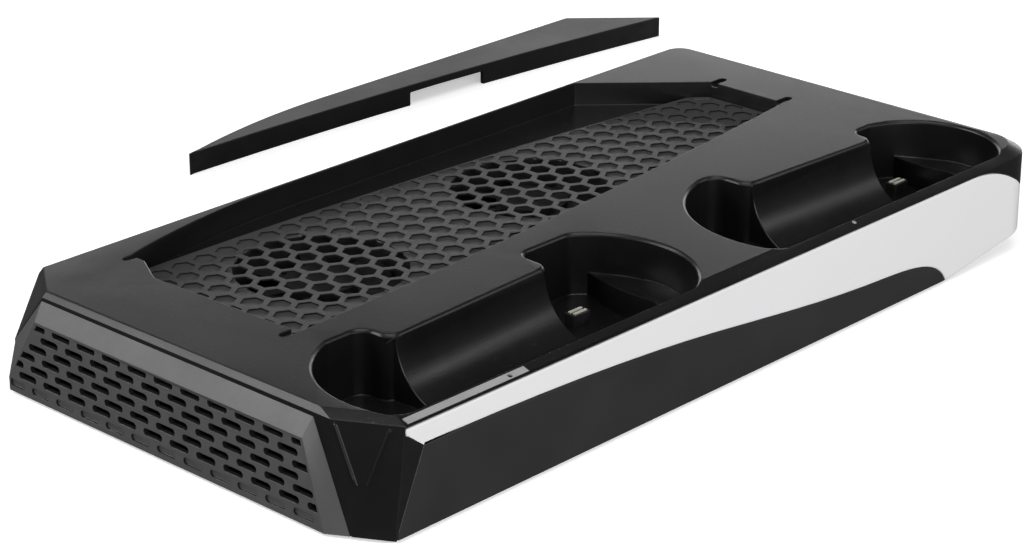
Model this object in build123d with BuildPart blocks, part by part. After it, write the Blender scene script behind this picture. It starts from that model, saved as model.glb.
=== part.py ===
from build123d import *
import os
from math import cos, pi

os.makedirs("parts", exist_ok=True)

# Body: X runs along the length with the vented end at -X, the controller bays are at -Y, Z is up
deck_length = 330.0
body_depth = 167.5
body_height = 38.0
foot_lift = 1.0               # floor to the underside of the body
wall = 2.0
deck_thickness = 2.5
fit_gap = 0.3                 # between pieces that drop into each other
front_corner_radius = 14.0    # right-hand corners, seen from above
back_corner_radius = 8.0
toe_length = 53.0             # the underside rises towards the right end over this length
toe_rise = 7.0

# Slanted corners of the vented end: how far each cut runs along X and along Y
front_cut_top_x = 11.0
front_cut_low_x = 6.5
front_cut_slope = 1.75        # its run along Y for each millimetre along X
back_cut_top_x = 12.0
back_cut_top_y = 17.0
back_cut_low_x = 1.0
back_cut_low_y = 0.9
back_cut_z = 17.0             # the back cut widens above this height

# Bevelled rim round the deck
rim_drop = 1.8
front_bevel = 6.0
end_bevel = 1.5
back_bevel = 0.6

# Two converging ribs on the front left corner
rib_width = 0.7
rib_proud = 0.5
rib_shift = -1.6              # of their middle along the slanted corner
rib_top_spread = 8.3          # of each rib from there, at its top and its bottom
rib_low_spread = 1.9
rib_drop = 1.4                # below the rim
rib_height = 17.8

# Front panels
panel_thickness = 2.0
panel_gap = 0.2
panel_reach = 20.0            # how far the panels' seat may run round the corner
panel_low_x = 7.5             # lower left corner of the dark panel, from the left end
panel_low_z = 3.5
band_top_z = 35.1
band_left_x = 11.4            # left corner of the white band, from the left end
band_left_z = 33.0
band_low_x = 18.5             # its lower left corner
band_low_z = 28.4
band_nose_inset = 2.6         # from the right end
band_nose_run = 36.5          # length over which the band's top edge curves down
band_nose_drop = 15.5
band_mid_x = -24.0            # two places on the band's swept lower edge
band_mid_z = 22.4
band_late_x = 71.0
band_late_z = 12.9
band_end_steepness = 2.0      # of the lower edge where it reaches the floor

# Controller bays: a trough between two wide round lobes, each cut off at the back and towards the trough
bay_depth = 22.0
bay_front_inset = 4.35        # from the front face: the bay's front edge lies on the front bevel
bay_rim = 0.9                 # bevel round the bay's mouth
bay_fillet = 5.0              # where the lobes run into the straight back edge
bay_front_round = 8.0         # where they run into the front edge
lobe_round = 5.0              # corners of the lobes at the back
left_outer_x = 47.5           # each lobe's middle: the outer ones from the ends of the deck
left_outer_y = 21.15          # from the front face
left_outer_radius = 38.5
left_outer_limit = 49.5       # cut towards the trough, measured like the middle
left_outer_top = 57.45        # cut at the back, from the front face
left_inner_x = -36.3
left_inner_y = 35.65
left_inner_radius = 35.0
left_inner_limit = -39.5
left_inner_top = 63.35
right_inner_x = 63.0
right_inner_y = 20.45
right_inner_radius = 44.5
right_inner_limit = 61.0
right_inner_top = 63.75
right_outer_x = 32.0
right_outer_y = 28.75
right_outer_radius = 27.8
right_outer_limit = 36.0
right_outer_top = 55.75
back_edge_outer_y = 45.2      # bay's straight back edge, from the front face, at the outer lobe
back_edge_inner_y = 49.2
saddle_drop = 1.0             # the concave saddle starts this far below the deck
saddle_inset = 2.5            # of its ends from the lobes
shelf_drop = 8.5
shelf_edge = 28.0             # front of the shelf's slanted edge, from the far side of the lobe
shelf_lean = 0.34             # the edge's shift along X for each millimetre along Y
shelf_scoop_radius = 30.0
shelf_scoop_depth = 6.0
shelf_scoop_x = 4.0           # its lowest line, from the far side of the lobe

# Console recess, its crescent pocket and the honeycomb floor
recess_left = 32.0            # from the left end
recess_right = 27.0           # from the right end
recess_back = 1.8             # rim behind the recess
recess_depth = 6.0
pocket_depth = 9.0
well_floor = 2.0
recess_left_lean = 2.0
recess_front_left = 98.5      # front edge of the recess, from the back face
recess_front_mid = 88.8
recess_front_right = 73.0
recess_front_mid_x = 5.0
recess_diagonal_x = 63.5      # where the diagonal leaves the back edge, from the right end
recess_diagonal_y = 38.5      # where it meets the right edge, from the back face
recess_sweep_x = -45.0        # the back edge sweeps forward to the left of here
recess_tab_x = 7.0            # step in the left edge
recess_tab_y = 13.5           # left end of the sweep, from the back face
recess_tab_length = 7.0
recess_tab_slope = 13.0
arc_left_y = 14.2             # back edge of the honeycomb floor, from the back face
arc_mid_y = 19.5
arc_right_y = 34.5
arc_mid_x = 12.0
arc_overrun = 12.0
corner_slot_length = 9.0
corner_slot_width = 3.0
corner_slot_depth = 1.5
corner_slot_reach = 2.0       # of the slot's middle past the recess
corner_slot_inset = 1.5       # of the slot's middle from the recess corner
grille_floor = 1.4
grille_web = 1.1
ledge_width = 1.5
cell_pitch = 9.45
cell_row = 7.7
cell_back = 52.5              # middle of one row of cells, from the back face
cell_web = 2.5
cell_border = 0.9
least_cell = 0.3              # share of a cell that has to lie inside the border

# Fans under the honeycomb floor
fan_size = 60.0
fan_thickness = 10.0
fan_bore_radius = 28.5
fan_opening_radius = 29.0
fan_corner_round = 4.0
fan_hole_spacing = 50.0
fan_hole_radius = 2.15
fan_left_x = -80.0
fan_right_x = 21.2
fan_back = 54.2               # fan middle from the back face
peg_radius = 1.9
peg_length = 7.5
peg_pilot_radius = 0.9
fan_screw_radius = 0.85
fan_screw_length = 8.0
hub_radius = 12.5
hub_wall = 1.2
hub_height = 5.6
hub_lift = 0.6                # running gap between rotor and motor base
blade_count = 7
blade_tip_radius = 26.6       # at the middle of the blade's end
blade_sink = 0.8              # the blade's root lies this far inside the hub
blade_root_chord = 8.5
blade_tip_chord = 12.5
blade_camber = 1.2
blade_half_thickness = 0.45
blade_root_pitch = 30.0
blade_tip_pitch = 19.0
motor_base_height = 1.8
strut_width = 3.0
strut_count = 4
bearing_radius = 3.5
bearing_height = 4.0
shaft_radius = 1.5
shaft_gap = 0.05

# Vent panel on the left end
vent_proud = 4.0
vent_wall = 1.8
vent_top_drop = 1.4           # below the rim
vent_front_top = 26.5         # ends of the panel, from the front and back faces, at the top and the bottom
vent_front_low = 12.2
vent_back_top = 16.5
vent_back_low = 1.5
vent_back_z = 17.5            # its back end is upright below this height
vent_face_drop = 5.8          # height of the panel's sloping top
vent_face_front_top = 27.3    # the same for its slotted face
vent_face_front_low = 19.0
vent_face_back_top = 17.3
vent_face_back_low = 2.0
vent_face_back_z = 5.5
slot_length = 8.7
slot_height = 2.4
slot_pitch = 12.2
slot_row = 3.85
slot_rows = 7
slot_phase = 4.75
slot_top = 1.7                # first row's middle, below the face's top
slot_margin = 0.9
least_slot = 0.3
blind_slot_depth = 0.7
window_inset = 4.0            # of the air window in the shell behind the panel

# Base plate, feet and screws
base_thickness = 2.5
boss_radius = 3.6
boss_left_back = 28.0         # the two bosses of the vented end, from the back face
boss_left_front = 96.0
boss_gap = 10.0               # of the bosses between bays and recess, from the recess
boss_bay_y = 32.0             # of the boss between the bays, from their front edge
boss_toe = 22.0               # of the right-hand bosses, from the rising underside
boss_rim = 11.5               # of the boss under the pocket, from the back face
pilot_radius = 1.25
pilot_depth = 12.0
screw_shank_radius = 1.2
screw_hole_radius = 1.6
screw_head_radius = 2.8
screw_head_height = 1.4
screw_head_gap = 0.3
screw_head_sink = 0.1
screw_length = 9.0
drive_length = 3.0            # cross recess in the screw heads
drive_width = 0.7
drive_depth = 0.7
foot_radius = 7.0
foot_recess = 1.2
foot_gap = 0.15
foot_inset = 15.0

# Control board at the back, with the power inlet and the fan switch
board_length = 66.0
board_depth = 25.0
board_thickness = 1.6
board_lift = 5.0
board_x = 40.0
board_gap = 3.2               # from the back wall
post_radius = 2.6
post_inset = 4.0
post_pin_radius = 1.2
post_pin_gap = 0.15
inlet_width = 9.0
inlet_height = 3.2
inlet_length = 9.0
inlet_shell = 0.35
inlet_sink = 0.3              # its mouth lies this far inside the back face
inlet_back = 1.0
inlet_x = -18.0               # from the board's middle
tongue_width = 6.4
tongue_height = 0.7
tongue_sink = 1.2
switch_size = 6.0
switch_height = 4.2
switch_x = 12.0
button_radius = 3.6
button_proud = 0.9
button_flange = 1.2
button_flange_height = 1.0
button_flange_gap = 0.1
button_travel = 0.6

# Charging contacts and indicators
contact_length = 8.0
contact_width = 5.0
contact_height = 4.0
contact_round = 1.2
contact_x = 9.5               # from the cut of the right-hand lobe
contact_y = 3.5               # from the bay's back edge
pin_count = 2
pin_length = 6.0
pin_width = 1.0
pin_sink = 1.5
pin_proud = 0.4
pin_spacing = 2.0
strip_length = 50.5
strip_width = 2.6
strip_thickness = 0.6
strip_gap = 0.15
strip_rise = -1.2             # up the bevel from its middle
strip_start = 1.8             # from the slanted corner
strip_hole_radius = 0.9
strip_hole_inset = 7.0
dot_radius = 0.8
dot_rise = -0.4
dot_x = 60.0

# Filler insert, lying on the floor behind the stand
insert_wall = 1.8
insert_notch_length = 40.0
insert_notch_height = 5.6
insert_notch_x = 10.0
insert_shift_x = 128.0
insert_shift_y = 121.0

# Places worked out from the sizes above
left_x = -deck_length / 2
right_x = deck_length / 2
front_y = -body_depth / 2
back_y = body_depth / 2
rim_z = body_height - rim_drop
base_z = foot_lift + base_thickness
toe_x = right_x - toe_length
inner_front = panel_thickness + wall
bay_front = front_y + bay_front_inset
bay_floor_z = body_height - bay_depth
recess_z = body_height - recess_depth
pocket_z = body_height - pocket_depth
well_z = pocket_z - well_floor
grille_z = recess_z - grille_web - grille_floor
fan_z = grille_z - fan_thickness
fan_y = back_y - fan_back
fan_places = {"left": (fan_left_x, fan_y), "right": (fan_right_x, fan_y)}
board_y = back_y - wall - board_gap - board_depth / 2
board_z = base_z + board_lift
button_x = board_x + switch_x
button_z = board_z + board_thickness + switch_height / 2
inlet_z = board_z + board_thickness + inlet_height / 2

# Lobes of each bay, the left one first: (x and y of the middle, radius, x of one cut, y of the other)
bay_lobes = {
    "left": [
        (
            left_x + left_outer_x,
            front_y + left_outer_y,
            left_outer_radius,
            left_x + left_outer_limit,
            front_y + left_outer_top,
        ),
        (
            left_inner_x,
            front_y + left_inner_y,
            left_inner_radius,
            left_inner_limit,
            front_y + left_inner_top,
        ),
    ],
    "right": [
        (
            right_inner_x,
            front_y + right_inner_y,
            right_inner_radius,
            right_inner_limit,
            front_y + right_inner_top,
        ),
        (
            right_x - right_outer_x,
            front_y + right_outer_y,
            right_outer_radius,
            right_x - right_outer_limit,
            front_y + right_outer_top,
        ),
    ],
}

left_bay_end_x = left_inner_x + left_inner_radius
right_bay_start_x = right_inner_x - right_inner_radius
boss_places = [
    (left_x + recess_left / 2, back_y - boss_left_back),
    (left_x + recess_left / 2, back_y - boss_left_front),
    (fan_left_x, back_y - recess_front_left - boss_gap),
    ((left_bay_end_x + right_bay_start_x) / 2, bay_front + boss_bay_y),
    (toe_x - boss_toe, back_y - recess_front_mid - boss_gap),
    (toe_x - boss_toe, back_y - boss_rim),
]
foot_places = [
    (0, 0),
    (left_x + foot_inset, back_y - foot_inset),
    (left_x + foot_inset + front_cut_low_x, front_y + foot_inset),
    (toe_x - foot_inset, back_y - 2 * foot_inset),
    (toe_x - foot_inset, front_y + foot_inset),
]


def between(low, high, share):
    return low + (high - low) * share


def write(name, part):
    part.label = name
    export_step(part, f"parts/{name}.step")


def body_section(z, share, front=0.0, left=0.0, back=0.0, right=0.0):
    # Level outline of the body: share is 0 at the underside and 1 at the rim, the rest are insets
    front_cut_x = between(front_cut_low_x, front_cut_top_x, share)
    front_cut_y = front_cut_x * front_cut_slope
    back_share = min(1.0, max(0.0, (z - back_cut_z) / (rim_z - back_cut_z)))
    back_cut_x = between(back_cut_low_x, back_cut_top_x, back_share)
    back_cut_y = between(back_cut_low_y, back_cut_top_y, back_share)
    with BuildSketch(Plane.XY.offset(z)) as section:
        with BuildLine():
            FilletPolyline(
                (left_x + left + front_cut_x, front_y + front),
                (right_x - right, front_y + front),
                (right_x - right, back_y - back),
                (left_x + left + back_cut_x, back_y - back),
                radius=[front_corner_radius - right, back_corner_radius - right],
            )
            Polyline(
                (left_x + left + back_cut_x, back_y - back),
                (left_x + left, back_y - back - back_cut_y),
                (left_x + left, front_y + front + front_cut_y),
                (left_x + left + front_cut_x, front_y + front),
            )
        make_face()
    return section.sketch


def bay_limits(bay):
    # X of the two lobes' cuts towards the trough
    return [lobe[3] for lobe in bay_lobes[bay]]


def back_edge_y(bay, x):
    # Straight back edge of a bay, from its outer lobe to its inner one
    inner_x, outer_x = sorted(bay_limits(bay), key=abs)
    share = (x - outer_x) / (inner_x - outer_x)
    return front_y + between(back_edge_outer_y, back_edge_inner_y, share)


def lobe_sketch(lobe, side, z):
    # One lobe of a bay: a circle cut off at the back and, on the given side, towards the trough
    x, y, radius, limit_x, top_y = lobe
    with BuildSketch(Plane.XY.offset(z)) as sketch:
        with Locations((x, y)):
            Circle(radius)
        with Locations((limit_x, top_y)):
            Rectangle(3 * radius, 3 * radius, align=(side, Align.MAX), mode=Mode.INTERSECT)
        fillet([v for v in sketch.vertices() if abs(v.Y - top_y) < fit_gap / 10], lobe_round)
    return sketch.sketch


def bay_sketch(bay, z, grow=0.0):
    # Outline of a bay: two lobes and the straight trough between them
    start_x, end_x = bay_limits(bay)
    left_lobe, right_lobe = bay_lobes[bay]
    with BuildSketch(Plane.XY.offset(z)) as sketch:
        with BuildLine():
            Polyline(
                (start_x - lobe_round, bay_front),
                (start_x - lobe_round, back_edge_y(bay, start_x - lobe_round)),
                (end_x + lobe_round, back_edge_y(bay, end_x + lobe_round)),
                (end_x + lobe_round, bay_front),
                close=True,
            )
        make_face()
        add(lobe_sketch(left_lobe, Align.MAX, z))
        add(lobe_sketch(right_lobe, Align.MIN, z))
        with Locations((0, bay_front)):
            Rectangle(deck_length, body_depth, align=(Align.CENTER, Align.MIN), mode=Mode.INTERSECT)
        fillet([v for v in sketch.vertices() if abs(v.Y - back_edge_y(bay, v.X)) < fit_gap / 10], bay_fillet)
        fillet([v for v in sketch.vertices() if abs(v.Y - bay_front) < fit_gap / 10], bay_front_round)
        if grow:
            offset(amount=grow)
    return sketch.sketch


def saddle_ends(bay):
    # The saddle fills the straight stretch between the two lobes
    start_x, end_x = bay_limits(bay)
    places = (start_x + saddle_inset, end_x - saddle_inset)
    return [Vector(x, back_edge_y(bay, x), bay_floor_z) for x in places]


def shelf_block(bay):
    # Shelf in the right-hand lobe, with a slanted edge towards the trough and a scooped top
    lobe = bay_lobes[bay][1]
    far_x = lobe[0] + lobe[2]
    edge_x = far_x - shelf_edge
    shelf_z = body_height - shelf_drop
    low_y = bay_front - wall
    high_y = low_y + body_depth / 2
    with BuildPart() as shelf:
        with BuildSketch(Plane.XY.offset(bay_floor_z - wall)):
            with BuildLine():
                Polyline(
                    (edge_x, low_y),
                    (far_x + wall, low_y),
                    (far_x + wall, high_y),
                    (edge_x + shelf_lean * (high_y - low_y), high_y),
                    close=True,
                )
            make_face()
        extrude(amount=shelf_z - bay_floor_z + wall)
        scoop_z = shelf_z + shelf_scoop_radius - shelf_scoop_depth
        with Locations(Location((far_x - shelf_scoop_x, bay_front, scoop_z), (90, 0, 0))):
            Cylinder(shelf_scoop_radius, body_depth, mode=Mode.SUBTRACT)
    return shelf.part


def bay_cavity(bay):
    # Space that a controller lies in: a trough with a concave saddle behind it, and the shelf
    start, end = saddle_ends(bay)
    along = (end - start).normalized()
    saddle_radius = bay_depth - saddle_drop
    with BuildPart() as cavity:
        extrude(bay_sketch(bay, bay_floor_z), amount=bay_depth + deck_thickness)
        with BuildSketch(Plane(start, x_dir=(-along.Y, along.X, 0), z_dir=along)):
            with BuildLine():
                CenterArc((-saddle_radius, saddle_radius), saddle_radius, -90, 90)
                Polyline(
                    (0, saddle_radius),
                    (bay_fillet, saddle_radius),
                    (bay_fillet, -wall),
                    (-saddle_radius, -wall),
                    (-saddle_radius, 0),
                )
            make_face()
        extrude(amount=(end - start).length, mode=Mode.SUBTRACT)
        add(shelf_block(bay), mode=Mode.SUBTRACT)
    return cavity.part


def recess_sketch(z, grow=0.0):
    # Outline of the console recess
    x_left = left_x + recess_left
    x_right = right_x - recess_right
    y_back = back_y - recess_back
    tab_y = back_y - recess_tab_y
    with BuildSketch(Plane.XY.offset(z)) as sketch:
        with BuildLine():
            front = ThreePointArc(
                (x_left + recess_left_lean, back_y - recess_front_left),
                (recess_front_mid_x, back_y - recess_front_mid),
                (x_right, back_y - recess_front_right),
            )
            straight = Polyline(
                front @ 1,
                (x_right, back_y - recess_diagonal_y),
                (right_x - recess_diagonal_x, y_back),
                (recess_sweep_x, y_back),
            )
            sweep = TangentArc(straight @ 1, (x_left + recess_tab_x, tab_y), tangent=(-1, 0))
            Polyline(
                sweep @ 1,
                (x_left + recess_tab_x, tab_y - recess_tab_length),
                (x_left, tab_y - recess_tab_length - recess_tab_slope),
                front @ 0,
            )
        make_face()
        if grow:
            offset(amount=grow, kind=Kind.INTERSECTION)
    return sketch.sketch


def behind_arc(z, shift=0.0):
    # Everything behind the curved back edge of the honeycomb floor
    x_low = left_x + recess_left - arc_overrun
    x_high = right_x - recess_right + arc_overrun
    with BuildSketch(Plane.XY.offset(z)) as sketch:
        with BuildLine():
            edge = ThreePointArc(
                (x_low, back_y - arc_left_y + shift),
                (arc_mid_x, back_y - arc_mid_y + shift),
                (x_high, back_y - arc_right_y + shift),
            )
            Polyline(edge @ 1, (x_high, back_y + arc_overrun), (x_low, back_y + arc_overrun), edge @ 0)
        make_face()
    return sketch.sketch


def floor_sketch(z, grow=0.0):
    # Outline of the honeycomb floor: the recess in front of the arc
    with BuildSketch(Plane.XY.offset(z)) as sketch:
        add(recess_sketch(z, grow))
        add(behind_arc(z, grow), mode=Mode.SUBTRACT)
    return sketch.sketch


def pocket_sketch(z, grow=0.0):
    # Outline of the crescent pocket: the recess behind the arc
    with BuildSketch(Plane.XY.offset(z)) as sketch:
        add(recess_sketch(z, grow))
        add(behind_arc(z, -grow), mode=Mode.INTERSECT)
    return sketch.sketch


def front_prism(grow=0.0):
    # Space of both front panels, seen from the front: slanted left end, straight top, curved nose
    left_edge = left_x - grow
    top_z = band_top_z + grow
    tip_x = right_x - band_nose_inset + grow
    with BuildPart() as prism:
        with BuildSketch(Plane.XZ.offset(-front_y - panel_reach)):
            with BuildLine():
                top = Line((left_edge + band_left_x, top_z), (tip_x - band_nose_run, top_z))
                nose = TangentArc(top @ 1, (tip_x, top_z - band_nose_drop), tangent=(1, 0))
                Polyline(
                    nose @ 1,
                    (tip_x, 0),
                    (left_edge + panel_low_x, 0),
                    (left_edge + panel_low_x, panel_low_z),
                    (left_edge + band_low_x, band_low_z),
                    (left_edge + band_left_x, band_left_z),
                    top @ 0,
                )
            make_face()
        extrude(amount=panel_reach + wall)
    return prism.part


def below_sweep(shift=0.0):
    # Space below the band's swept lower edge
    left_edge = left_x + front_cut_low_x - wall
    with BuildPart() as prism:
        with BuildSketch(Plane.XZ.offset(-front_y - panel_reach)):
            with BuildLine():
                sweep = Spline(
                    (left_edge, band_low_z + shift),
                    (band_mid_x, band_mid_z + shift),
                    (band_late_x, band_late_z + shift),
                    (toe_x, foot_lift + shift),
                    tangents=((1, 0), (1, -band_end_steepness)),
                )
                Polyline(sweep @ 1, (toe_x, -wall), (left_edge, -wall), sweep @ 0)
            make_face()
        extrude(amount=panel_reach + wall)
    return prism.part


def vent_face_points(inset=0.0):
    # Flat slotted face of the vent panel
    back_low_y = back_y - vent_face_back_low - inset
    return [
        (front_y + vent_face_front_top + inset, vent_face_z - inset),
        (back_y - vent_face_back_top - inset, vent_face_z - inset),
        (back_low_y, vent_face_back_z + inset),
        (back_low_y, foot_lift + inset),
        (front_y + vent_face_front_low + inset, foot_lift + inset),
    ]


def end_sketch(x, points):
    # Outline on a plane across the length
    with BuildSketch(Plane.YZ.offset(x)) as sketch:
        with BuildLine():
            Polyline(*points, close=True)
        make_face()
    return sketch.sketch


def slot_row_sketch(row):
    # One row of vent slots: every second row is shifted by half a pitch, the ends follow the face
    z = vent_face_z - slot_top - row * slot_row
    shift = slot_phase + (row % 2) * slot_pitch / 2
    reach = int(body_depth / slot_pitch / 2) + 1
    places = [(shift + step * slot_pitch, z) for step in range(-reach, reach)]
    with BuildSketch(Plane.YZ.offset(vent_face_x)) as sketch:
        with Locations(*places):
            SlotOverall(slot_length, slot_height)
        with BuildLine():
            Polyline(*vent_face_points(slot_margin), close=True)
        make_face(mode=Mode.INTERSECT)
        slivers = [face for face in sketch.faces() if face.area < least_slot * slot_length * slot_height]
        if slivers:
            add(slivers, mode=Mode.SUBTRACT)
    return sketch.sketch


def honeycomb_cells(z):
    # Hexagonal cells in staggered rows, cut off at the border of the honeycomb floor
    cell_radius = (cell_pitch - cell_web) / 2 / cos(pi / 6)
    cell_area = (cell_pitch - cell_web) * cell_radius * 3 / 2
    columns = int(deck_length / cell_pitch)
    rows = int(body_depth / cell_row)
    places = []
    for row in range(-rows, rows):
        for column in range(-columns, columns):
            x = fan_right_x + (column + (row % 2) / 2) * cell_pitch
            y = back_y - cell_back + row * cell_row
            inside_x = left_x + recess_left < x < right_x - recess_right
            if inside_x and -recess_front_left < y - back_y < -arc_left_y:
                places.append((x, y))
    with BuildSketch(Plane.XY.offset(z)) as sketch:
        with Locations(*places):
            RegularPolygon(cell_radius, 6, rotation=90)
        add(floor_sketch(z, -fit_gap - cell_border), mode=Mode.INTERSECT)
        slivers = [face for face in sketch.faces() if face.area < least_cell * cell_area]
        if slivers:
            add(slivers, mode=Mode.SUBTRACT)
    return sketch.sketch


def inner_form(gap=0.0):
    # Space between the shell's walls
    inset = wall + gap
    with BuildPart() as form:
        loft(
            [
                body_section(0, 0, inner_front + gap, inset, inset, inset),
                body_section(body_height - deck_thickness, 1, inner_front + gap, inset, inset, inset),
            ],
            ruled=True,
        )
    return form.part


def fan_corners(place):
    # The four screw places of a fan
    half = fan_hole_spacing / 2
    return [(place[0] + x, place[1] + y) for x in (-half, half) for y in (-half, half)]


def fan_frame():
    # Square frame with a round duct; four struts hold the motor base and the bearing tube
    with BuildPart() as frame:
        with BuildSketch(Plane.XY.offset(fan_z)):
            RectangleRounded(fan_size, fan_size, fan_corner_round)
            Circle(fan_bore_radius, mode=Mode.SUBTRACT)
            with GridLocations(fan_hole_spacing, fan_hole_spacing, 2, 2):
                Circle(fan_hole_radius, mode=Mode.SUBTRACT)
        extrude(amount=fan_thickness)
        with BuildSketch(Plane.XY.offset(fan_z)):
            Circle(hub_radius)
            with PolarLocations(0, strut_count, 45):
                Rectangle(fan_bore_radius + wall, strut_width, align=(Align.MIN, Align.CENTER))
        extrude(amount=motor_base_height)
        with BuildSketch(Plane.XY.offset(fan_z + motor_base_height)):
            Circle(bearing_radius)
        extrude(amount=bearing_height)
        with Locations((0, 0, fan_z + motor_base_height + bearing_height)):
            Hole(shaft_radius + shaft_gap, bearing_height)
    return frame.part


def blade_section(z, turn, radius, chord, pitch):
    # Thin curved section of a fan blade at one radius
    outward = Vector(1, 0, 0).rotate(Axis.Z, turn)
    along = Vector(0, 1, 0).rotate(Axis.Z, turn).rotate(Axis((0, 0, 0), outward), pitch)
    middle = Vector(0, 0, z) + outward * radius
    with BuildSketch(Plane(middle, x_dir=along, z_dir=outward)) as section:
        with BuildLine():
            upper = ThreePointArc((-chord / 2, 0), (0, blade_camber + blade_half_thickness), (chord / 2, 0))
            ThreePointArc(upper @ 1, (0, blade_camber - blade_half_thickness), upper @ 0)
        make_face()
    return section.sketch


def fan_rotor():
    # Cup-shaped hub with its shaft and a ring of twisted blades
    hub_z = fan_z + motor_base_height + hub_lift
    blade_z = hub_z + hub_height / 2 - blade_camber / 2
    root_radius = hub_radius - blade_sink
    with BuildPart() as rotor:
        with BuildSketch(Plane.XY.offset(hub_z)):
            Circle(hub_radius)
        extrude(amount=hub_height)
        with BuildSketch(Plane.XY.offset(hub_z)):
            Circle(hub_radius - hub_wall)
            Circle(shaft_radius, mode=Mode.SUBTRACT)
        extrude(amount=hub_height - hub_wall, mode=Mode.SUBTRACT)
        for blade in range(blade_count):
            turn = blade * 360 / blade_count
            loft(
                [
                    blade_section(blade_z, turn, root_radius, blade_root_chord, blade_root_pitch),
                    blade_section(blade_z, turn, blade_tip_radius, blade_tip_chord, blade_tip_pitch),
                ]
            )
    return rotor.part


def screws(places, head_z, head_radius, shank_radius, length):
    # Screws driven upwards, with a cross recess in the head
    with BuildPart() as group:
        with BuildSketch(Plane.XY.offset(head_z)):
            with Locations(*places):
                Circle(head_radius)
        extrude(amount=screw_head_height)
        with BuildSketch(Plane.XY.offset(head_z + screw_head_height)):
            with Locations(*places):
                Circle(shank_radius)
        extrude(amount=length)
        with BuildSketch(Plane.XY.offset(head_z)):
            with Locations(*places):
                Rectangle(drive_length, drive_width)
                Rectangle(drive_width, drive_length)
        extrude(amount=drive_depth, mode=Mode.SUBTRACT)
    return group.part


def contact_place(bay):
    # Middle of the charging contact, past the right-hand end of the saddle
    limit_x = bay_limits(bay)[1]
    return (limit_x + contact_x, back_edge_y(bay, limit_x) - contact_y)


vent_top_z = rim_z - vent_top_drop
vent_face_z = vent_top_z - vent_face_drop
vent_face_x = left_x - vent_proud
bevel_plane = Plane(
    (0, front_y + front_bevel / 2, rim_z + rim_drop / 2),
    x_dir=(1, 0, 0),
    z_dir=(0, -rim_drop, front_bevel),
)
facet_corner = Vector(left_x, front_y, 0)
facet_inward = Vector(0.5, front_cut_slope / 2, 0)
facet_top = facet_corner + facet_inward * front_cut_top_x + Vector(0, 0, rim_z)
facet_low = facet_corner + facet_inward * front_cut_low_x + Vector(0, 0, foot_lift)
facet_along = Vector(1, -front_cut_slope, 0)
facet_plane = Plane(facet_top, x_dir=facet_along, z_dir=facet_along.cross(facet_top - facet_low))
strip_middle = left_x + front_cut_top_x + strip_start + strip_length / 2

# Wedge that lifts the underside towards the right end
with BuildPart() as toe:
    with BuildSketch(Plane.XZ):
        with BuildLine():
            Polyline(
                (toe_x, -wall),
                (right_x + wall, -wall),
                (right_x + wall, foot_lift + toe_rise * (toe_length + wall) / toe_length),
                (toe_x, foot_lift),
                close=True,
            )
        make_face()
    extrude(amount=body_depth, both=True)

# Full outer form
with BuildPart() as outer:
    loft(
        [
            body_section(foot_lift, 0),
            body_section(back_cut_z, (back_cut_z - foot_lift) / (rim_z - foot_lift)),
            body_section(rim_z, 1),
            body_section(body_height, 1, front_bevel, end_bevel, back_bevel, end_bevel),
        ],
        ruled=True,
    )
    add(toe.part, mode=Mode.SUBTRACT)

# What lies behind the front panels
with BuildPart() as panel_back:
    loft(
        [
            body_section(0, 0, front=panel_thickness, right=panel_thickness),
            body_section(body_height, 1, front=panel_thickness, right=panel_thickness),
        ],
        ruled=True,
    )

# Space inside the top shell, with the bays, the recess and the screw bosses left standing
with BuildPart() as hollow:
    add(inner_form())
    for bay in bay_lobes:
        extrude(bay_sketch(bay, bay_floor_z - wall, wall), amount=bay_depth, mode=Mode.SUBTRACT)
    extrude(recess_sketch(well_z, wall), amount=pocket_depth, mode=Mode.SUBTRACT)
    with BuildSketch(Plane.XY.offset(base_z)):
        with Locations(*boss_places):
            Circle(boss_radius)
    extrude(amount=body_height, mode=Mode.SUBTRACT)

# Seat of both front panels in the shell
with BuildPart() as panel_seat:
    add(front_prism(panel_gap))
    add(outer.part, mode=Mode.INTERSECT)
    add(panel_back.part, mode=Mode.SUBTRACT)

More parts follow.
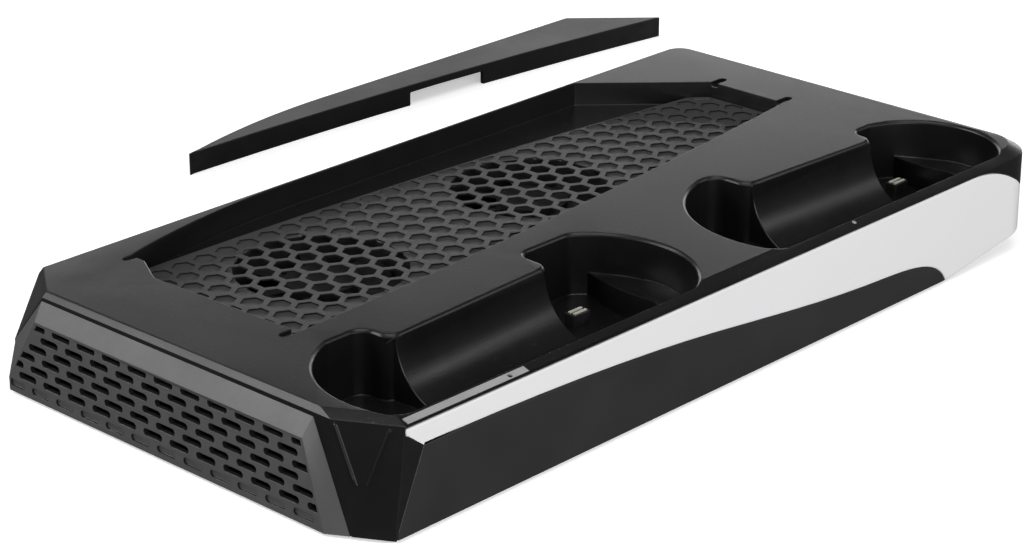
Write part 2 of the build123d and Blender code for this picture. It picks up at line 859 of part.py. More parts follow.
# Top shell
recess_edge_x = right_x - recess_right
corner_slot_places = [
    (left_x + recess_left, back_y - recess_front_left + corner_slot_inset),
    (left_x + recess_left + recess_tab_x, back_y - recess_tab_y - corner_slot_inset),
    (recess_edge_x + corner_slot_reach, back_y - recess_front_right + corner_slot_inset),
    (recess_edge_x + corner_slot_reach, back_y - recess_diagonal_y - corner_slot_inset),
]
with BuildPart() as top_shell:
    add(outer.part)
    add(hollow.part, mode=Mode.SUBTRACT)
    add(panel_seat.part, mode=Mode.SUBTRACT)
    for bay in bay_lobes:
        add(bay_cavity(bay), mode=Mode.SUBTRACT)
    extrude(recess_sketch(recess_z), amount=recess_depth, mode=Mode.SUBTRACT)
    extrude(pocket_sketch(pocket_z), amount=pocket_depth, mode=Mode.SUBTRACT)
    extrude(floor_sketch(grille_z), amount=recess_z - grille_z, mode=Mode.SUBTRACT)
    extrude(floor_sketch(well_z - wall, -ledge_width), amount=pocket_depth, mode=Mode.SUBTRACT)
    with BuildSketch(Plane.XY.offset(well_z - wall)):
        with Locations(*fan_places.values()):
            RectangleRounded(fan_size + 2 * fit_gap, fan_size + 2 * fit_gap, fan_corner_round + fit_gap)
    extrude(amount=grille_z - well_z + wall, mode=Mode.SUBTRACT)
    for bay in bay_lobes:
        loft(
            [bay_sketch(bay, body_height - bay_rim), bay_sketch(bay, body_height, bay_rim)],
            ruled=True,
            mode=Mode.SUBTRACT,
        )
    with BuildSketch(Plane.XY.offset(body_height)):
        with Locations(*corner_slot_places):
            SlotOverall(corner_slot_length, corner_slot_width)
    extrude(amount=-corner_slot_depth, mode=Mode.SUBTRACT)
    for side in (-1, 1):
        top_x = rib_shift + side * rib_top_spread
        low_x = rib_shift + side * rib_low_spread
        with BuildSketch(facet_plane):
            with BuildLine():
                Polyline(
                    (top_x - rib_width / 2, -rib_drop),
                    (top_x + rib_width / 2, -rib_drop),
                    (low_x + rib_width / 2, -rib_drop - rib_height),
                    (low_x - rib_width / 2, -rib_drop - rib_height),
                    close=True,
                )
            make_face()
        extrude(amount=rib_proud, both=True)
    with BuildSketch(bevel_plane):
        with Locations((strip_middle, strip_rise)):
            Rectangle(strip_length + 2 * strip_gap, strip_width + 2 * strip_gap)
        with Locations((dot_x, dot_rise)):
            Circle(dot_radius + strip_gap)
    extrude(amount=-strip_thickness, mode=Mode.SUBTRACT)
    extrude(end_sketch(left_x - wall, vent_face_points(window_inset)), amount=3 * wall, mode=Mode.SUBTRACT)
    with BuildSketch(Plane.XZ.offset(-back_y)):
        with Locations((board_x + inlet_x, inlet_z)):
            SlotOverall(inlet_width + 2 * fit_gap, inlet_height + 2 * fit_gap)
        with Locations((button_x, button_z)):
            Circle(button_radius + fit_gap)
    extrude(amount=wall + fit_gap, mode=Mode.SUBTRACT)
    with BuildSketch(Plane.XY.offset(base_z)):
        with Locations(*boss_places):
            Circle(pilot_radius)
    extrude(amount=pilot_depth, mode=Mode.SUBTRACT)
write("top_shell", top_shell.part)

# Honeycomb floor: a plate with two fan openings under a web of hexagonal cells, and pegs for the fans
peg_places = [corner for place in fan_places.values() for corner in fan_corners(place)]
with BuildPart() as honeycomb_grille:
    with BuildSketch(Plane.XY.offset(grille_z)):
        add(floor_sketch(grille_z, -fit_gap))
        with Locations(*fan_places.values()):
            Circle(fan_opening_radius, mode=Mode.SUBTRACT)
    extrude(amount=grille_floor)
    with BuildSketch(Plane.XY.offset(grille_z)):
        with Locations(*peg_places):
            Circle(peg_radius)
    extrude(amount=-peg_length)
    with BuildSketch(Plane.XY.offset(grille_z - peg_length)):
        with Locations(*peg_places):
            Circle(peg_pilot_radius)
    extrude(amount=peg_length, mode=Mode.SUBTRACT)
    with BuildSketch(Plane.XY.offset(grille_z + grille_floor)):
        add(floor_sketch(grille_z, -fit_gap))
        add(honeycomb_cells(grille_z), mode=Mode.SUBTRACT)
    extrude(amount=grille_web)
write("honeycomb_grille", honeycomb_grille.part)

# Vent panel: raised pad with sloping edges, slotted face; the lowest row of slots is blind
base_points = [
    (front_y + vent_front_top, vent_top_z),
    (back_y - vent_back_top, vent_top_z),
    (back_y - vent_back_low, vent_back_z),
    (back_y - vent_back_low, foot_lift),
    (front_y + vent_front_low, foot_lift),
]
with BuildPart() as vent_grille:
    loft([end_sketch(left_x, base_points), end_sketch(vent_face_x, vent_face_points())], ruled=True)
    extrude(
        end_sketch(left_x, vent_face_points(slot_margin)), amount=vent_wall - vent_proud, mode=Mode.SUBTRACT
    )
    for row in range(slot_rows):
        blind = row == slot_rows - 1
        extrude(slot_row_sketch(row), amount=blind_slot_depth if blind else vent_proud, mode=Mode.SUBTRACT)
write("vent_grille", vent_grille.part)

# White band and dark panel that cover the front
with BuildPart() as front_band:
    add(front_prism())
    add(below_sweep(), mode=Mode.SUBTRACT)
    add(outer.part, mode=Mode.INTERSECT)
    add(panel_back.part, mode=Mode.SUBTRACT)
write("front_band", front_band.part)

with BuildPart() as lower_front_panel:
    add(front_prism())
    add(below_sweep(-panel_gap), mode=Mode.INTERSECT)
    add(outer.part, mode=Mode.INTERSECT)
    add(panel_back.part, mode=Mode.SUBTRACT)
write("lower_front_panel", lower_front_panel.part)

# Indicators on the front bevel
with BuildPart() as indicator_strip:
    with BuildSketch(bevel_plane):
        with Locations((strip_middle, strip_rise)):
            Rectangle(strip_length, strip_width)
        with Locations((strip_middle + strip_length / 2 - strip_hole_inset, strip_rise)):
            Circle(strip_hole_radius, mode=Mode.SUBTRACT)
    extrude(amount=-strip_thickness)
write("indicator_strip", indicator_strip.part)

with BuildPart() as indicator_dot:
    with BuildSketch(bevel_plane):
        with Locations((dot_x, dot_rise)):
            Circle(dot_radius)
    extrude(amount=-strip_thickness)
write("indicator_dot", indicator_dot.part)

# Charging contacts: a block on the floor of each bay, with metal contact bars in its top
pin_places = [
    (contact_place(bay)[0], contact_place(bay)[1] + (step - (pin_count - 1) / 2) * pin_spacing)
    for bay in bay_lobes
    for step in range(pin_count)
]
contact_z = bay_floor_z + contact_height
for bay in bay_lobes:
    with BuildPart() as contact_block:
        with BuildSketch(Plane((*contact_place(bay), bay_floor_z))):
            RectangleRounded(contact_length, contact_width, contact_round)
        extrude(amount=contact_height)
        with BuildSketch(Plane.XY.offset(contact_z)):
            with Locations(*pin_places):
                Rectangle(pin_length, pin_width)
        extrude(amount=-pin_sink, mode=Mode.SUBTRACT)
    write(f"contact_block_{bay}", contact_block.part)

with BuildPart() as contact_pins:
    with BuildSketch(Plane.XY.offset(contact_z - pin_sink)):
        with Locations(*pin_places):
            Rectangle(pin_length, pin_width)
    extrude(amount=pin_sink + pin_proud)
write("contact_pins", contact_pins.part)

# Fans and their screws
frame_part = fan_frame()
rotor_part = fan_rotor()
for side, place in fan_places.items():
    write(f"fan_frame_{side}", frame_part.moved(Location((*place, 0))))
    write(f"fan_rotor_{side}", rotor_part.moved(Location((*place, 0))))
write(
    "fan_screws",
    screws(peg_places, fan_z - screw_head_height, screw_head_radius, fan_screw_radius, fan_screw_length),
)

# Base plate, which follows the rising underside, with its screws, feet and board posts
post_places = [
    (board_x + x * (board_length / 2 - post_inset), board_y + y * (board_depth / 2 - post_inset))
    for x in (-1, 1)
    for y in (-1, 1)
]
with BuildPart() as base_plate:
    add(inner_form(fit_gap))
    with BuildSketch(Plane.XZ):
        with BuildLine():
            Polyline(
                (left_x, foot_lift),
                (toe_x, foot_lift),
                (right_x, foot_lift + toe_rise),
                (right_x, foot_lift + toe_rise + base_thickness),
                (toe_x, base_z),
                (left_x, base_z),
                close=True,
            )
        make_face()
    extrude(amount=body_depth, both=True, mode=Mode.INTERSECT)
    with Locations(*[Location((*place, foot_lift), (180, 0, 0)) for place in boss_places]):
        CounterBoreHole(
            screw_hole_radius,
            screw_head_radius + screw_head_gap,
            screw_head_height + screw_head_sink,
            2 * base_thickness,
        )
    with BuildSketch(Plane.XY.offset(foot_lift)):
        with Locations(*foot_places):
            Circle(foot_radius + foot_gap)
    extrude(amount=foot_recess, mode=Mode.SUBTRACT)
    with BuildSketch(Plane.XY.offset(base_z)):
        with Locations(*post_places):
            Circle(post_radius)
    extrude(amount=board_lift)
    with BuildSketch(Plane.XY.offset(board_z)):
        with Locations(*post_places):
            Circle(post_pin_radius)
    extrude(amount=board_thickness)
write("base_plate", base_plate.part)

write(
    "base_screws",
    screws(boss_places, foot_lift + screw_head_sink, screw_head_radius, screw_shank_radius, screw_length),
)

with BuildPart() as feet:
    with BuildSketch():
        with Locations(*foot_places):
            Circle(foot_radius)
    extrude(amount=foot_lift + foot_recess)
write("feet", feet.part)

# Control board with the power inlet and the fan switch, and the button that reaches through the back wall
with BuildPart() as control_board:
    with BuildSketch(Plane.XY.offset(board_z)):
        with Locations((board_x, board_y)):
            Rectangle(board_length, board_depth)
        with Locations(*post_places):
            Circle(post_pin_radius + post_pin_gap, mode=Mode.SUBTRACT)
    extrude(amount=board_thickness)
write("control_board", control_board.part)

mouth_y = back_y - inlet_sink
with BuildPart() as power_inlet:
    with BuildSketch(Plane.XZ.offset(-mouth_y)):
        with Locations((board_x + inlet_x, inlet_z)):
            SlotOverall(inlet_width, inlet_height)
    extrude(amount=inlet_length)
    with BuildSketch(Plane.XZ.offset(-mouth_y)):
        with Locations((board_x + inlet_x, inlet_z)):
            SlotOverall(inlet_width - 2 * inlet_shell, inlet_height - 2 * inlet_shell)
    extrude(amount=inlet_length - inlet_back, mode=Mode.SUBTRACT)
    with BuildSketch(Plane.XZ.offset(tongue_sink - mouth_y)):
        with Locations((board_x + inlet_x, inlet_z)):
            Rectangle(tongue_width, tongue_height)
    extrude(amount=inlet_length - tongue_sink)
write("power_inlet", power_inlet.part)

flange_y = back_y - wall - button_flange_gap
switch_y = flange_y - button_flange_height - button_travel - button_flange_gap
with BuildPart() as fan_switch:
    with Locations((button_x, switch_y, board_z + board_thickness)):
        Box(switch_size, switch_size, switch_height, align=(Align.CENTER, Align.MAX, Align.MIN))
write("fan_switch", fan_switch.part)

with BuildPart() as fan_button:
    with BuildSketch(Plane.XZ.offset(-back_y - button_proud)):
        with Locations((button_x, button_z)):
            Circle(button_radius)
    extrude(amount=button_proud + back_y - flange_y + button_flange_height)
    with BuildSketch(Plane.XZ.offset(-flange_y)):
        with Locations((button_x, button_z)):
            Circle(button_radius + button_flange)
    extrude(amount=button_flange_height)
    fillet(fan_button.edges().sort_by(Axis.Y)[-1], button_proud / 2)
write("fan_button", fan_button.part)

# Filler insert: fills the crescent pocket up to the deck, hollow underneath, notched to lift it out
insert_height = pocket_depth - fit_gap
insert_place = Location((insert_shift_x, insert_shift_y, 0))
with BuildPart() as filler_insert:
    extrude(pocket_sketch(0, -fit_gap).moved(insert_place), amount=insert_height)
    extrude(
        pocket_sketch(0, -fit_gap - insert_wall).moved(insert_place),
        amount=insert_height - insert_wall,
        mode=Mode.SUBTRACT,
    )
    with Locations((insert_shift_x + insert_notch_x, insert_shift_y + back_y - arc_mid_y, 0)):
        Box(
            insert_notch_length,
            4 * insert_wall,
            insert_notch_height,
            align=(Align.CENTER, Align.CENTER, Align.MIN),
            mode=Mode.SUBTRACT,
        )
write("filler_insert", filler_insert.part)
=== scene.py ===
import itertools
import math

import bpy
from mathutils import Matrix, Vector


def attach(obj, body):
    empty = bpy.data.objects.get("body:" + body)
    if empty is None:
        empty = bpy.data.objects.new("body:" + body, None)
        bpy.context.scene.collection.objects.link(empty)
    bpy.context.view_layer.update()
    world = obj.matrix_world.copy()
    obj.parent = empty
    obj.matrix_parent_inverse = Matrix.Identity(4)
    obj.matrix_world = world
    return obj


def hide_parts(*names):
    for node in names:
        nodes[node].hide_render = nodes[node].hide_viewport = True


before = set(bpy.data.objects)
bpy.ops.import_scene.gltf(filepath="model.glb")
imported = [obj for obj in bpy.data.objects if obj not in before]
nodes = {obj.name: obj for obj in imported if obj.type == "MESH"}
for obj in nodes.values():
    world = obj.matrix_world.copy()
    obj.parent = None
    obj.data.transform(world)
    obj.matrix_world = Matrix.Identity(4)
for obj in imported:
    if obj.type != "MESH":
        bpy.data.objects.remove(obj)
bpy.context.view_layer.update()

print("frame loaded:", len(nodes), "nodes")


def pickOnly(piece):
    bpy.ops.object.select_all(action="DESELECT")
    piece.select_set(True)
    bpy.context.view_layer.objects.active = piece


def applyModifier(piece, kind, **values):
    modifier = piece.modifiers.new(kind.lower(), kind)
    for name, value in values.items():
        setattr(modifier, name, value)
    pickOnly(piece)
    bpy.ops.object.modifier_apply(modifier=modifier.name)


# Shader node groups that the finishes share. A mask is 0 at "none" and 1 at "full".
masks = {
    "grain": {"detail": 2.0, "roughness": 0.6, "none": 0.25, "full": 0.75},
    "cloud": {"detail": 4.0, "roughness": 0.55, "none": 0.3, "full": 0.7},
    "edge": {"none": 0.52, "full": 0.60},
    "patch": {"scale": 120.0, "detail": 3.0, "roughness": 0.6, "none": 0.3, "full": 0.75},
    "speck": {"scale": 900.0, "detail": 1.0, "roughness": 0.5, "none": 0.68, "full": 0.8},
    "upward": {"none": 0.5, "full": 0.95},
    "wall": {"none": 0.35, "full": 0.15},
}


def newGroup(name, inputs, outputs):
    group = bpy.data.node_groups.new(name, "ShaderNodeTree")
    for label, kind, value in inputs:
        socket = group.interface.new_socket(name=label, in_out="INPUT", socket_type=kind)
        if value is not None:
            socket.default_value = value
    for label, kind in outputs:
        group.interface.new_socket(name=label, in_out="OUTPUT", socket_type=kind)
    return group, group.nodes.new("NodeGroupInput"), group.nodes.new("NodeGroupOutput")


def rangeOn(tree, value, mask):
    span = tree.nodes.new("ShaderNodeMapRange")
    span.inputs["From Min"].default_value = mask["none"]
    span.inputs["From Max"].default_value = mask["full"]
    tree.links.new(value, span.inputs["Value"])
    return span.outputs["Result"]


def noiseOn(tree, place, scaleSocket, mask):
    noise = tree.nodes.new("ShaderNodeTexNoise")
    noise.inputs["Detail"].default_value = mask["detail"]
    noise.inputs["Roughness"].default_value = mask["roughness"]
    tree.links.new(place, noise.inputs["Vector"])
    tree.links.new(scaleSocket, noise.inputs["Scale"])
    return rangeOn(tree, noise.outputs["Fac"], mask)


def bothOf(tree, first, second):
    both = tree.nodes.new("ShaderNodeMath")
    both.operation = "MULTIPLY"
    tree.links.new(first, both.inputs[0])
    tree.links.new(second, both.inputs[1])
    return both.outputs["Value"]


def makeMouldedGrain():
    # spark-eroded mould texture: fine grain for the height, slow clouds for tone and gloss
    group, given, out = newGroup(
        "mouldedGrain",
        [("Place", "NodeSocketVector", None), ("Grain", "NodeSocketFloat", None),
         ("Cloud", "NodeSocketFloat", None)],
        [("Height", "NodeSocketFloat"), ("Mottle", "NodeSocketFloat")],
    )
    fine = noiseOn(group, given.outputs["Place"], given.outputs["Grain"], masks["grain"])
    cloud = noiseOn(group, given.outputs["Place"], given.outputs["Cloud"], masks["cloud"])
    group.links.new(fine, out.inputs["Height"])
    group.links.new(cloud, out.inputs["Mottle"])
    return group


def makeRubbedEdge():
    # convex edges that hands and consoles rub, broken up by noise
    group, given, out = newGroup(
        "rubbedEdge",
        [("Place", "NodeSocketVector", None), ("Patch", "NodeSocketFloat", masks["patch"]["scale"])],
        [("Wear", "NodeSocketFloat")],
    )
    form = group.nodes.new("ShaderNodeNewGeometry")
    edge = rangeOn(group, form.outputs["Pointiness"], masks["edge"])
    patch = noiseOn(group, given.outputs["Place"], given.outputs["Patch"], masks["patch"])
    group.links.new(bothOf(group, edge, patch), out.inputs["Wear"])
    return group


def makeFineDust():
    # sparse pale specks that settle on upward faces
    group, given, out = newGroup(
        "fineDust",
        [("Place", "NodeSocketVector", None), ("Spread", "NodeSocketFloat", masks["speck"]["scale"])],
        [("Dust", "NodeSocketFloat")],
    )
    speck = noiseOn(group, given.outputs["Place"], given.outputs["Spread"], masks["speck"])
    form = group.nodes.new("ShaderNodeNewGeometry")
    facing = group.nodes.new("ShaderNodeSeparateXYZ")
    group.links.new(form.outputs["Normal"], facing.inputs["Vector"])
    upward = rangeOn(group, facing.outputs["Z"], masks["upward"])
    group.links.new(bothOf(group, speck, upward), out.inputs["Dust"])
    return group


def makeWallShade():
    # painted shade on the walls of slots and cells: faces that lie along the direction the openings are cut
    # in are darkened
    group, given, out = newGroup(
        "cutWall", [("Cut", "NodeSocketVector", None)], [("Wall", "NodeSocketFloat")],
    )
    form = group.nodes.new("ShaderNodeNewGeometry")
    facing = group.nodes.new("ShaderNodeVectorMath")
    facing.operation = "DOT_PRODUCT"
    eitherWay = group.nodes.new("ShaderNodeMath")
    eitherWay.operation = "ABSOLUTE"
    group.links.new(form.outputs["True Normal"], facing.inputs[0])
    group.links.new(given.outputs["Cut"], facing.inputs[1])
    group.links.new(facing.outputs["Value"], eitherWay.inputs[0])
    wall = rangeOn(group, eitherWay.outputs["Value"], masks["wall"])
    group.links.new(wall, out.inputs["Wall"])
    return group


mouldedGrain = makeMouldedGrain()
rubbedEdge = makeRubbedEdge()
fineDust = makeFineDust()
cutWall = makeWallShade()


def placeGroup(tree, group, place=None, **values):
    node = tree.nodes.new("ShaderNodeGroup")
    node.node_tree = group
    if place is not None:
        tree.links.new(place, node.inputs["Place"])
    for label, value in values.items():
        node.inputs[label].default_value = value
    return node


def mixTone(tree, mask, low, high):
    # low and high are either plain colours or sockets
    mix = tree.nodes.new("ShaderNodeMix")
    mix.data_type = "RGBA"
    tree.links.new(mask, mix.inputs["Factor"])
    for label, tone in (("A", low), ("B", high)):
        socket = [s for s in mix.inputs if s.name == label and s.type == "RGBA"][0]
        if isinstance(tone, tuple):
            socket.default_value = (*tone, 1.0)
        else:
            tree.links.new(tone, socket)
    return [s for s in mix.outputs if s.type == "RGBA"][0]


def finishMaterial(name, finish):
    material = bpy.data.materials.new(name)
    material.use_nodes = True
    tree = material.node_tree
    shader = tree.nodes["Principled BSDF"]
    place = tree.nodes.new("ShaderNodeTexCoord").outputs["Object"]
    grain = placeGroup(
        tree, mouldedGrain, place, Grain=1 / finish["grainSize"], Cloud=1 / finish["cloudSize"],
    )
    wear = placeGroup(tree, rubbedEdge, place)
    dust = placeGroup(tree, fineDust, place)
    tone = mixTone(tree, grain.outputs["Mottle"], finish["dark"], finish["light"])
    tone = mixTone(tree, wear.outputs["Wear"], tone, finish["worn"])
    tone = mixTone(tree, dust.outputs["Dust"], tone, finish["dust"])
    gloss = tree.nodes.new("ShaderNodeMapRange")
    gloss.inputs["To Min"].default_value = finish["smooth"]
    gloss.inputs["To Max"].default_value = finish["rough"]
    tree.links.new(grain.outputs["Mottle"], gloss.inputs["Value"])
    if "cut" in finish:
        # slot and cell walls get painted shade, a near-black tone, and a duller roughness than the face
        wall = placeGroup(tree, cutWall, Cut=finish["cut"]).outputs["Wall"]
        tone = mixTone(tree, wall, tone, finish["hollow"])
        dull = tree.nodes.new("ShaderNodeMapRange")
        dull.inputs["To Max"].default_value = finish["hollowRough"]
        tree.links.new(gloss.outputs["Result"], dull.inputs["To Min"])
        tree.links.new(wall, dull.inputs["Value"])
        gloss = dull
    tree.links.new(tone, shader.inputs["Base Color"])
    tree.links.new(gloss.outputs["Result"], shader.inputs["Roughness"])
    bump = tree.nodes.new("ShaderNodeBump")
    bump.inputs["Strength"].default_value = finish["grainStrength"]
    bump.inputs["Distance"].default_value = finish["grainDepth"]
    tree.links.new(grain.outputs["Height"], bump.inputs["Height"])
    tree.links.new(bump.outputs["Normal"], shader.inputs["Normal"])
    shader.inputs["IOR"].default_value = finish["ior"]
    shader.inputs["Metallic"].default_value = finish.get("metal", 0.0)
    return material


def liftLevel(copy, level, reach, lift):
    # moves everything at one height up or down
    for vertex in copy.data.vertices:
        vertex.select = abs(vertex.co.z - level) < reach
    bpy.ops.object.mode_set(mode="EDIT")
    bpy.ops.mesh.select_mode(type="VERT")
    bpy.ops.transform.translate(value=(0, 0, lift))
    bpy.ops.object.mode_set(mode="OBJECT")


# Lengths in metres and angles in degrees that all dressed nodes share
moulding = {"shortEdge": 0.0003, "needleReach": 0.003, "needleAngle": 16, "crease": 14}


def weighEdges(copy, piece):
    # sharp edges take the bevel, except very short ones and pairs that meet in a needle point
    bpy.ops.object.mode_set(mode="EDIT")
    bpy.ops.mesh.select_mode(type="EDGE")
    bpy.ops.mesh.select_all(action="DESELECT")
    bpy.ops.mesh.edges_select_sharp(sharpness=math.radians(piece["sharp"]))
    bpy.ops.object.mode_set(mode="OBJECT")
    points = copy.data.vertices
    meetings = {}
    for edge in copy.data.edges:
        if edge.select:
            first, second = edge.vertices
            way = points[second].co - points[first].co
            low = max(points[first].co.z, points[second].co.z) < piece.get("plainBelow", 0)
            edge.select = way.length > (piece["plainEdge"] if low else moulding["shortEdge"])
            meetings.setdefault(first, []).append((edge, way))
            meetings.setdefault(second, []).append((edge, -way))
    for spokes in meetings.values():
        for (edge, way), (otherEdge, otherWay) in itertools.combinations(spokes, 2):
            short = max(way.length, otherWay.length) < moulding["needleReach"]
            if short and way.angle(otherWay, math.pi) < math.radians(moulding["needleAngle"]):
                edge.select = otherEdge.select = False
    bpy.ops.object.mode_set(mode="EDIT")
    bpy.ops.transform.edge_bevelweight(value=1.0)
    bpy.ops.mesh.select_all(action="DESELECT")
    bpy.ops.object.mode_set(mode="OBJECT")


def dressNode(piece):
    # rounded-edge copy of a CAD node, in its place
    copy = bpy.data.objects.new(piece["name"], nodes[piece["node"]].data.copy())
    bpy.context.scene.collection.objects.link(copy)
    pickOnly(copy)
    bpy.ops.object.mode_set(mode="EDIT")
    bpy.ops.mesh.select_all(action="SELECT")
    bpy.ops.mesh.remove_doubles(threshold=piece["merge"])
    bpy.ops.mesh.select_all(action="DESELECT")
    bpy.ops.object.mode_set(mode="OBJECT")
    if "lift" in piece:
        liftLevel(copy, piece["level"], piece["reach"], piece["lift"])
    bpy.ops.mesh.customdata_custom_splitnormals_clear()
    weighEdges(copy, piece)
    applyModifier(
        copy, "BEVEL", width=piece["edge"], segments=piece["edgeSteps"], limit_method="WEIGHT",
        use_clamp_overlap=False, miter_outer="MITER_ARC",
    )
    bpy.ops.object.shade_smooth_by_angle(angle=math.radians(moulding["crease"]))
    applyModifier(copy, "WEIGHTED_NORMAL", mode="FACE_AREA", keep_sharp=True)
    copy.data.materials.clear()
    copy.data.materials.append(piece["material"])
    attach(copy, piece["body"])
    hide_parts(piece["node"])
    print("dressed", piece["name"], len(copy.data.polygons), "faces")


# Top moulding: deck, console recess and controller bays in satin black
shellFinish = {
    "dark": (0.004, 0.004, 0.0043), "light": (0.006, 0.006, 0.0063), "worn": (0.03, 0.03, 0.031),
    "dust": (0.04, 0.04, 0.04), "smooth": 0.28, "rough": 0.34, "grainSize": 0.0006, "cloudSize": 0.03,
    "grainStrength": 0.10, "grainDepth": 0.0002, "ior": 1.42,
}
topShell = {
    "name": "deckMoulding", "node": "top_shell", "body": "stand", "slot": "shell_black",
    "merge": 0.00013, "edge": 0.0004, "edgeSteps": 2, "sharp": 32,
    "plainBelow": 0.03, "plainEdge": 0.0007,  # the round holes in the back wall keep plain edges
    "material": finishMaterial("satinBlackShell", shellFinish),
}
dressNode(topShell)

# Honeycomb floor of the console recess
# the honeycomb cell walls get a near-black painted shade and a dull roughness
grilleFinish = dict(
    shellFinish, dark=(0.034, 0.034, 0.035), light=(0.041, 0.041, 0.042), smooth=0.40, rough=0.50,
    cloudSize=0.02, cut=(0, 0, 1), hollow=(0.003, 0.003, 0.003), hollowRough=0.9,
)
honeycombFloor = {
    "name": "honeycombFloor", "node": "honeycomb_grille", "body": "stand", "slot": "grille_black",
    "merge": 0.00001, "edge": 0.0002, "edgeSteps": 1, "sharp": 32,
    "level": 0.0309, "reach": 0.0001, "lift": 0.0005,
    "material": finishMaterial("honeycombBlack", grilleFinish),
}
dressNode(honeycombFloor)

# Slotted vent in the left end
# the vent slot walls get a near-black painted shade and a dull roughness
ventFinish = dict(
    shellFinish, dark=(0.076, 0.076, 0.077), light=(0.084, 0.084, 0.085), worn=(0.1, 0.1, 0.1),
    smooth=0.32, rough=0.42, cut=(1, 0, 0), hollow=(0.003, 0.003, 0.003), hollowRough=0.9,
)
ventPanel = {
    "name": "slottedVent", "node": "vent_grille", "body": "stand", "slot": "vent_black",
    "merge": 0.00001, "edge": 0.00006, "edgeSteps": 1, "sharp": 32,
    "material": finishMaterial("ventBlack", ventFinish),
}
dressNode(ventPanel)

# White swept band on the front
bandFinish = {
    "dark": (0.81, 0.81, 0.82), "light": (0.825, 0.825, 0.835), "worn": (0.78, 0.78, 0.78),
    "dust": (0.74, 0.73, 0.72), "smooth": 0.27, "rough": 0.31, "grainSize": 0.0008, "cloudSize": 0.12,
    "grainStrength": 0.05, "grainDepth": 0.0001, "ior": 1.45,
}
whiteBand = {
    "name": "sweptBand", "node": "front_band", "body": "stand", "slot": "band_white",
    "merge": 0.00001, "edge": 0.0004, "edgeSteps": 2, "sharp": 32,
    "material": finishMaterial("whiteBand", bandFinish),
}
dressNode(whiteBand)

# Dark panel under the band
panelFinish = dict(
    shellFinish, dark=(0.022, 0.022, 0.023), light=(0.027, 0.027, 0.028), smooth=0.34, rough=0.42,
)
lowerPanel = {
    "name": "lowerPanel", "node": "lower_front_panel", "body": "stand", "slot": "panel_black",
    "merge": 0.00001, "edge": 0.0004, "edgeSteps": 2, "sharp": 32,
    "material": finishMaterial("lowerPanelBlack", panelFinish),
}
dressNode(lowerPanel)

# Loose crescent filler beside the stand
insertFinish = dict(shellFinish, smooth=0.42, rough=0.50, cloudSize=0.04)
crescentFiller = {
    "name": "crescentFiller", "node": "filler_insert", "body": "stand", "slot": "insert_black",
    "merge": 0.00001, "edge": 0.0004, "edgeSteps": 2, "sharp": 32,
    "material": finishMaterial("fillerBlack", insertFinish),
}
dressNode(crescentFiller)

# Small pieces keep their CAD form and get their own finishes
stripFinish = dict(
    bandFinish, dark=(0.27, 0.27, 0.275), light=(0.31, 0.31, 0.315), worn=(0.34, 0.34, 0.34),
    dust=(0.3, 0.3, 0.3),
)
dotFinish = dict(bandFinish, dark=(0.18, 0.18, 0.19), light=(0.26, 0.26, 0.27), worn=(0.3, 0.3, 0.3))
contactFinish = dict(shellFinish, smooth=0.36, rough=0.46)
pinFinish = {
    "dark": (0.84, 0.78, 0.62), "light": (0.92, 0.87, 0.72), "worn": (0.95, 0.93, 0.86),
    "dust": (0.7, 0.66, 0.56), "smooth": 0.30, "rough": 0.44, "grainSize": 0.0005, "cloudSize": 0.004,
    "grainStrength": 0.1, "grainDepth": 0.00005, "ior": 1.45, "metal": 0.35,
}
steelFinish = dict(
    pinFinish, dark=(0.46, 0.46, 0.47), light=(0.62, 0.62, 0.63), worn=(0.7, 0.7, 0.7), dust=(0.3, 0.3, 0.3),
    smooth=0.16, rough=0.34, metal=1.0,
)
# fan frames and rotors are near-black: their own black plastic, darkened further as painted shade under the
# grille openings
fanShadeFinish = dict(
    shellFinish, dark=(0.002, 0.002, 0.002), light=(0.004, 0.004, 0.004), worn=(0.006, 0.006, 0.006),
    dust=(0.006, 0.006, 0.006), smooth=0.66, rough=0.78,
)
rotorShadeFinish = dict(fanShadeFinish, light=(0.005, 0.005, 0.005), smooth=0.6)
baseFinish = dict(
    shellFinish, worn=(0.008, 0.008, 0.008), dust=(0.008, 0.008, 0.008), smooth=0.56, rough=0.68,
    grainStrength=0.3,
)
rubberFinish = dict(
    shellFinish, dark=(0.022, 0.022, 0.023), light=(0.038, 0.038, 0.039), smooth=0.68, rough=0.82,
)
boardFinish = dict(
    shellFinish, dark=(0.012, 0.07, 0.03), light=(0.02, 0.11, 0.05), worn=(0.05, 0.16, 0.08), smooth=0.28,
)
switchFinish = dict(shellFinish, light=(0.022, 0.022, 0.024), smooth=0.4, rough=0.5)
buttonFinish = dict(shellFinish, smooth=0.2, rough=0.3)

nodeFinishes = {
    "indicator_strip": finishMaterial("stripGrey", stripFinish),
    "indicator_dot": finishMaterial("dotGrey", dotFinish),
    "contact_block_left": finishMaterial("contactBlack", contactFinish),
    "contact_pins": finishMaterial("contactPlating", pinFinish),
    "fan_frame_left": finishMaterial("fanFrameShadedBlack", fanShadeFinish),
    "fan_rotor_left": finishMaterial("rotorShadedBlack", rotorShadeFinish),
    "fan_screws": finishMaterial("screwSteel", steelFinish),
    "base_plate": finishMaterial("basePlateBlack", baseFinish),
    "feet": finishMaterial("footRubber", rubberFinish),
    "control_board": finishMaterial("boardGreen", boardFinish),
    "power_inlet": finishMaterial("inletSteel", steelFinish),
    "fan_switch": finishMaterial("switchBlack", switchFinish),
    "fan_button": finishMaterial("buttonBlack", buttonFinish),
}
sameFinish = {
    "contact_block_right": "contact_block_left", "fan_frame_right": "fan_frame_left",
    "fan_rotor_right": "fan_rotor_left", "base_screws": "fan_screws",
}
for nodeName, twin in sameFinish.items():
    nodeFinishes[nodeName] = nodeFinishes[twin]
for nodeName, material in nodeFinishes.items():
    for materialSlot in nodes[nodeName].material_slots:
        materialSlot.material = material
print("finishes set on", len(nodeFinishes), "CAD nodes")

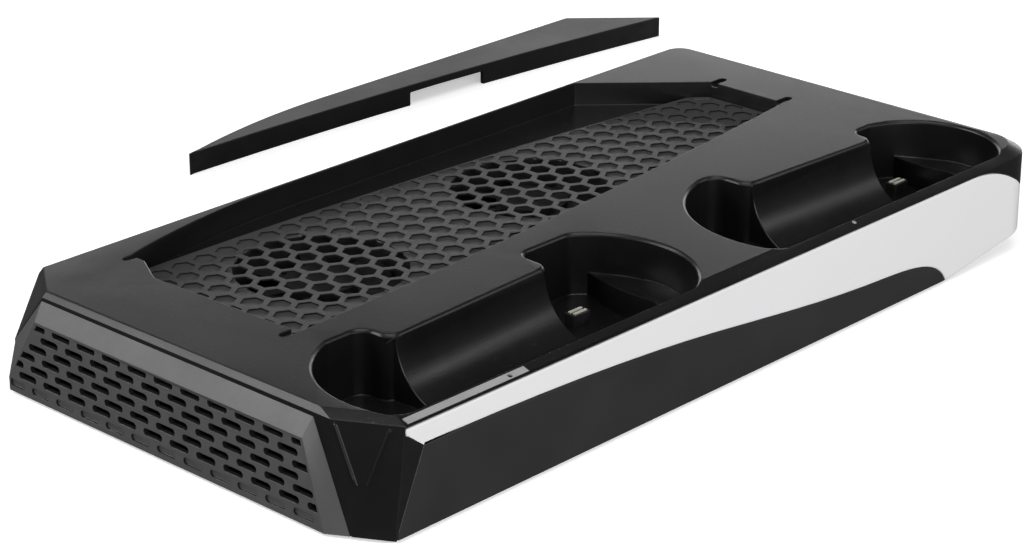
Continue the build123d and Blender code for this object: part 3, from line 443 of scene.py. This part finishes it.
# Studio: pale floor, six softboxes, dim surround and the photo's camera
studio = {
    "floorSize": 12.0, "floorTone": (0.92, 0.92, 0.92), "floorBounce": (0.12, 0.12, 0.12),
    "floorGlow": (0.45, 0.45, 0.45), "floorRough": 0.9, "floorSheen": 0.1, "surround": 0.11,
    "camera": (-0.6824, -0.6215, 0.3934), "tilt": 67.67, "turn": -46.8,
    "lens": 103.0, "sensor": 36.0, "nearest": 0.01,
}
softboxes = {
    "overheadSoftbox": {
        "place": (-0.3, -0.3, 1.8), "target": (0, 0, 0),
        "width": 1.6, "height": 1.6, "radiance": 1.9,
    },
    "frontSoftbox": {
        "place": (-0.35, -1.55, 0.5), "target": (0, 0, 0.03),
        "width": 2.1, "height": 1.0, "radiance": 4.0,
    },
    "keySoftbox": {
        "place": (1.15, -0.9, 0.95), "target": (0, -0.05, 0.03),
        "width": 0.4, "height": 0.4, "radiance": 3.2,
    },
    "backSoftbox": {
        "place": (1.35, 1.15, 0.22), "target": (0, 0, 0.1),
        "width": 2.4, "height": 0.44, "radiance": 3.1,
    },
    "leftSoftbox": {
        "place": (-0.85, 1.05, 0.92), "target": (-0.15, 0, 0.03),
        "width": 1.1, "height": 0.6, "radiance": 5.5,
    },
    "ventSoftbox": {
        "place": (-1.4, 0.4, 0.4), "target": (-0.15, 0, 0.02),
        "width": 1.8, "height": 0.7, "radiance": 1.4,
    },
}


def addFloor():
    bpy.ops.mesh.primitive_plane_add(size=studio["floorSize"])
    floor = bpy.context.active_object
    floor.name = "paleFloor"
    material = bpy.data.materials.new("paleFloorPaint")
    material.use_nodes = True
    tree = material.node_tree
    shader = tree.nodes["Principled BSDF"]
    # the floor throws less light back on the black plastic than its own tone would
    seen = tree.nodes.new("ShaderNodeLightPath").outputs["Is Camera Ray"]
    tone = mixTone(tree, seen, studio["floorBounce"], studio["floorTone"])
    glow = mixTone(tree, seen, (0, 0, 0), studio["floorGlow"])
    tree.links.new(tone, shader.inputs["Base Color"])
    tree.links.new(glow, shader.inputs["Emission Color"])
    shader.inputs["Emission Strength"].default_value = 1.0
    shader.inputs["Roughness"].default_value = studio["floorRough"]
    shader.inputs["Specular IOR Level"].default_value = studio["floorSheen"]
    floor.data.materials.append(material)


def addSoftbox(name, box):
    light = bpy.data.lights.new(name, "AREA")
    light.shape = "RECTANGLE"
    light.size = box["width"]
    light.size_y = box["height"]
    light.energy = box["radiance"] * math.pi * box["width"] * box["height"]
    softbox = bpy.data.objects.new(name, light)
    bpy.context.scene.collection.objects.link(softbox)
    softbox.location = box["place"]
    aim = Vector(box["target"]) - Vector(box["place"])
    softbox.rotation_euler = aim.to_track_quat("-Z", "Y").to_euler()


addFloor()
for boxName, box in softboxes.items():
    addSoftbox(boxName, box)

world = bpy.data.worlds.new("studioSurround")
world.use_nodes = True
world.node_tree.nodes["Background"].inputs["Color"].default_value = (1, 1, 1, 1)
world.node_tree.nodes["Background"].inputs["Strength"].default_value = studio["surround"]
bpy.context.scene.world = world
bpy.context.scene.view_settings.view_transform = "Standard"

cameraData = bpy.data.cameras.new("photoCamera")
cameraData.sensor_width = studio["sensor"]
cameraData.lens = studio["lens"]
cameraData.clip_start = studio["nearest"]
camera = bpy.data.objects.new("photoCamera", cameraData)
bpy.context.scene.collection.objects.link(camera)
camera.location = studio["camera"]
camera.rotation_euler = (math.radians(studio["tilt"]), 0, math.radians(studio["turn"]))
bpy.context.scene.camera = camera
print("studio ready")
